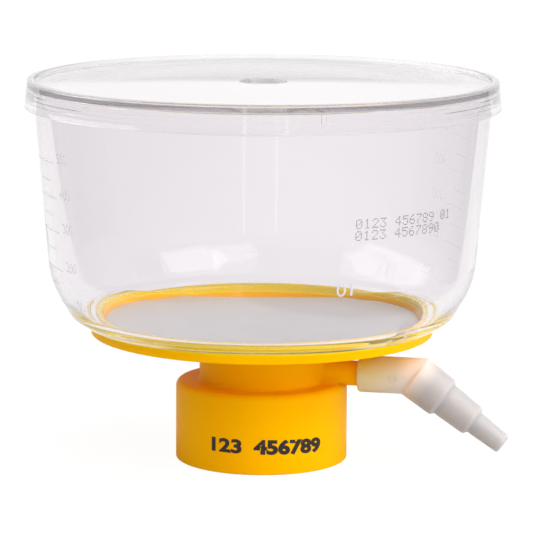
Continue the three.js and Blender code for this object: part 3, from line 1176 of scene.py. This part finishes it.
def floor_strength(tree, light_path):
    """Strength of the floor's own white, which depends on the kind of ray."""
    glossy = light_path.outputs["Is Glossy Ray"]
    refracted = light_path.outputs["Is Transmission Ray"]
    place, parts = object_place(tree)
    unlit = arithmetic(tree, "SUBTRACT", 1, wedge_light(tree, place, parts))
    unlit = arithmetic(tree, "MAXIMUM", unlit, LEAST_SHADE)
    dark = arithmetic(tree, "MULTIPLY", unlit, glossy)
    eased = arithmetic(tree, "MULTIPLY", refracted, PLASTIC_EASES)
    dark = arithmetic(tree, "MULTIPLY", dark, arithmetic(tree, "SUBTRACT", 1, eased))
    apart = arithmetic(tree, "SUBTRACT", parts["X"], SIDES_FROM)
    apart = arithmetic(tree, "ABSOLUTE", apart, 0)
    sides = step_between(tree, apart, *SIDES_EDGE)
    sides = arithmetic(tree, "MULTIPLY", sides, refracted)
    sides = arithmetic(tree, "MULTIPLY", sides, SIDES_SHADE)
    dark = arithmetic(tree, "ADD", dark, sides)
    return value_range(tree, dark, BRIGHT_FLOOR, DIM_FLOOR)


def floor_material():
    """Plain pale for diffuse light, and white with a soft shadow for every other ray;
    reflections also see a painted shadow under the unit.
    """
    made, tree, shader = new_material("floor")
    set_values(shader, Base_Color=(0.66, 0.66, 0.66, 1), Roughness=1.0)
    shader.inputs["Specular IOR Level"].default_value = 0
    light_path = tree.nodes.new("ShaderNodeLightPath")
    glow = tree.nodes.new("ShaderNodeEmission")
    tree.links.new(floor_strength(tree, light_path), glow.inputs["Strength"])
    seen_shade = tree.nodes.new("ShaderNodeBsdfDiffuse")
    seen_shade.inputs["Color"].default_value = (0.1, 0.1, 0.1, 1)
    seen_white = tree.nodes.new("ShaderNodeAddShader")
    tree.links.new(glow.outputs["Emission"], seen_white.inputs[0])
    tree.links.new(seen_shade.outputs["BSDF"], seen_white.inputs[1])
    glass_or_gloss = arithmetic(
        tree, "MAXIMUM",
        light_path.outputs["Is Glossy Ray"], light_path.outputs["Is Transmission Ray"],
    )
    seen = arithmetic(tree, "MAXIMUM", light_path.outputs["Is Camera Ray"], glass_or_gloss)
    surface = choose(tree, seen, shader.outputs["BSDF"], seen_white.outputs["Shader"])
    tree.links.new(surface, tree.nodes["Material Output"].inputs["Surface"])
    return made


def make_floor():
    """A flat floor that the unit's collar stands on."""
    size = 3.0
    just_under = -0.00002
    mesh = bpy.data.meshes.new("floor")
    mesh.from_pydata(
        [(-size, -size, 0), (size, -size, 0), (size, size, 0), (-size, size, 0)],
        [], [(0, 1, 2, 3)],
    )
    piece = bpy.data.objects.new("floor", mesh)
    scene.collection.objects.link(piece)
    piece.matrix_world = STAGE @ Matrix.Translation((0, 0, just_under))
    mesh.materials.append(floor_material())


def sky(tree, colour, strength):
    node = tree.nodes.new("ShaderNodeBackground")
    node.inputs["Color"].default_value = (*colour, 1)
    if isinstance(strength, (int, float)):
        node.inputs["Strength"].default_value = strength
    else:
        tree.links.new(strength, node.inputs["Strength"])
    return node.outputs["Background"]


BACKWARDS = Vector((0, 1, 0))
UPWARDS = Vector((0, 0, 1))
WINDOW = Vector((0.72, -0.48, 0.56))      # where the soft light comes from


def turned_to(tree, direction, low, high):
    """Rises from 0 to 1 as a ray turns to a direction that is given on the stage."""
    coordinates = tree.nodes.new("ShaderNodeTexCoord")
    facing = tree.nodes.new("ShaderNodeVectorMath")
    facing.operation = "DOT_PRODUCT"
    facing.inputs[1].default_value = STAGE_TURN.to_3x3() @ direction
    tree.links.new(coordinates.outputs["Generated"], facing.inputs[0])
    return step_between(tree, facing.outputs["Value"], low, high)


def make_world():
    """White for the camera. Soft light comes from the right, and reflections see a white
    backdrop, a dim front and a dim ceiling."""
    world = bpy.data.worlds.new("studio")
    world.use_nodes = True
    tree = world.node_tree
    light_path = tree.nodes.new("ShaderNodeLightPath")
    behind = turned_to(tree, BACKWARDS, 0.35, 0.98)
    ceiling = turned_to(tree, UPWARDS, 0.34, 0.7)
    window = turned_to(tree, WINDOW, 0.35, 1.0)
    below = arithmetic(tree, "SUBTRACT", 1, ceiling)
    backdrop = arithmetic(tree, "MULTIPLY", behind, below)
    warm = (1, 0.98, 0.99)
    plain = sky(tree, warm, value_range(tree, window, 0.28, 2.45))
    gloss = sky(tree, warm, value_range(tree, backdrop, 0.4, 1.0))
    glass = sky(tree, (1, 1, 1), value_range(tree, ceiling, 1.0, 0.6))
    white = sky(tree, (1, 1, 1), 1.0)
    shown = choose(tree, light_path.outputs["Is Glossy Ray"], plain, gloss)
    shown = choose(tree, light_path.outputs["Is Transmission Ray"], shown, glass)
    shown = choose(tree, light_path.outputs["Is Camera Ray"], shown, white)
    tree.links.new(shown, tree.nodes["World Output"].inputs["Surface"])
    scene.world = world


def softbox(name, azimuth, elevation, width, height, radiance):
    """A flat lamp that faces the unit, with its lengths in metres and angles in degrees.

    The azimuth runs clockwise from straight behind the unit, seen from above."""
    azimuth = math.radians(azimuth)
    elevation = math.radians(elevation)
    distance = 1.1
    lamp = bpy.data.lights.new(name, "AREA")
    lamp.shape = "RECTANGLE"
    lamp.size = width
    lamp.size_y = height
    lamp.energy = math.pi * width * height * radiance
    lamp.color = (1, 0.975, 0.985)
    piece = bpy.data.objects.new(name, lamp)
    scene.collection.objects.link(piece)
    flat = Vector((math.sin(azimuth), math.cos(azimuth), 0)) * math.cos(elevation)
    towards = flat + Vector((0, 0, math.sin(elevation)))
    target = Vector((0, 0, 0.05))
    turn = towards.to_track_quat("Z", "Y").to_matrix().to_4x4()
    piece.matrix_world = STAGE @ Matrix.Translation(target + towards * distance) @ turn
    piece.visible_camera = False


def make_camera():
    """Stands where the photographer stood, in millimetres and radians on the stage."""
    sideways = 1.219
    distance = 833.42
    height = 199.53
    pitch = 0.171559
    roll = 0.0058065
    focal_pixels = 2969.99
    frame_pixels = 533
    sensor = 36.0
    camera = bpy.data.cameras.new("camera")
    camera.sensor_width = sensor
    camera.lens = focal_pixels * sensor / frame_pixels
    camera.clip_start = 0.05
    camera.clip_end = 20
    piece = bpy.data.objects.new("camera", camera)
    scene.collection.objects.link(piece)
    place = Matrix.Translation(Vector((sideways, -distance, height)) * MM)
    tilt = Matrix.Rotation(math.pi / 2 - pitch, 4, "X") @ Matrix.Rotation(roll, 4, "Z")
    piece.matrix_world = STAGE @ place @ tilt
    scene.camera = piece


LAMPS = (                        # name, azimuth, elevation, width, height, radiance
    ("softbox_right", 123, 46, 0.6, 0.5, 1.8),
    ("softbox_front", 158, 46, 0.45, 0.45, 1.2),
    ("strip_right", 169, 5, 0.03, 0.5, 0.9),
    ("strip_left", -172, 5, 0.03, 0.5, 0.9),
    ("softbox_left", -82, 34, 1.2, 0.55, 1.6),
)

make_floor()
make_world()
for lamp_row in LAMPS:
    softbox(*lamp_row)
make_camera()

scene.view_settings.view_transform = "Standard"
scene.cycles.max_bounces = 32
scene.cycles.glossy_bounces = 32
scene.cycles.transmission_bounces = 32
scene.cycles.transparent_max_bounces = 24
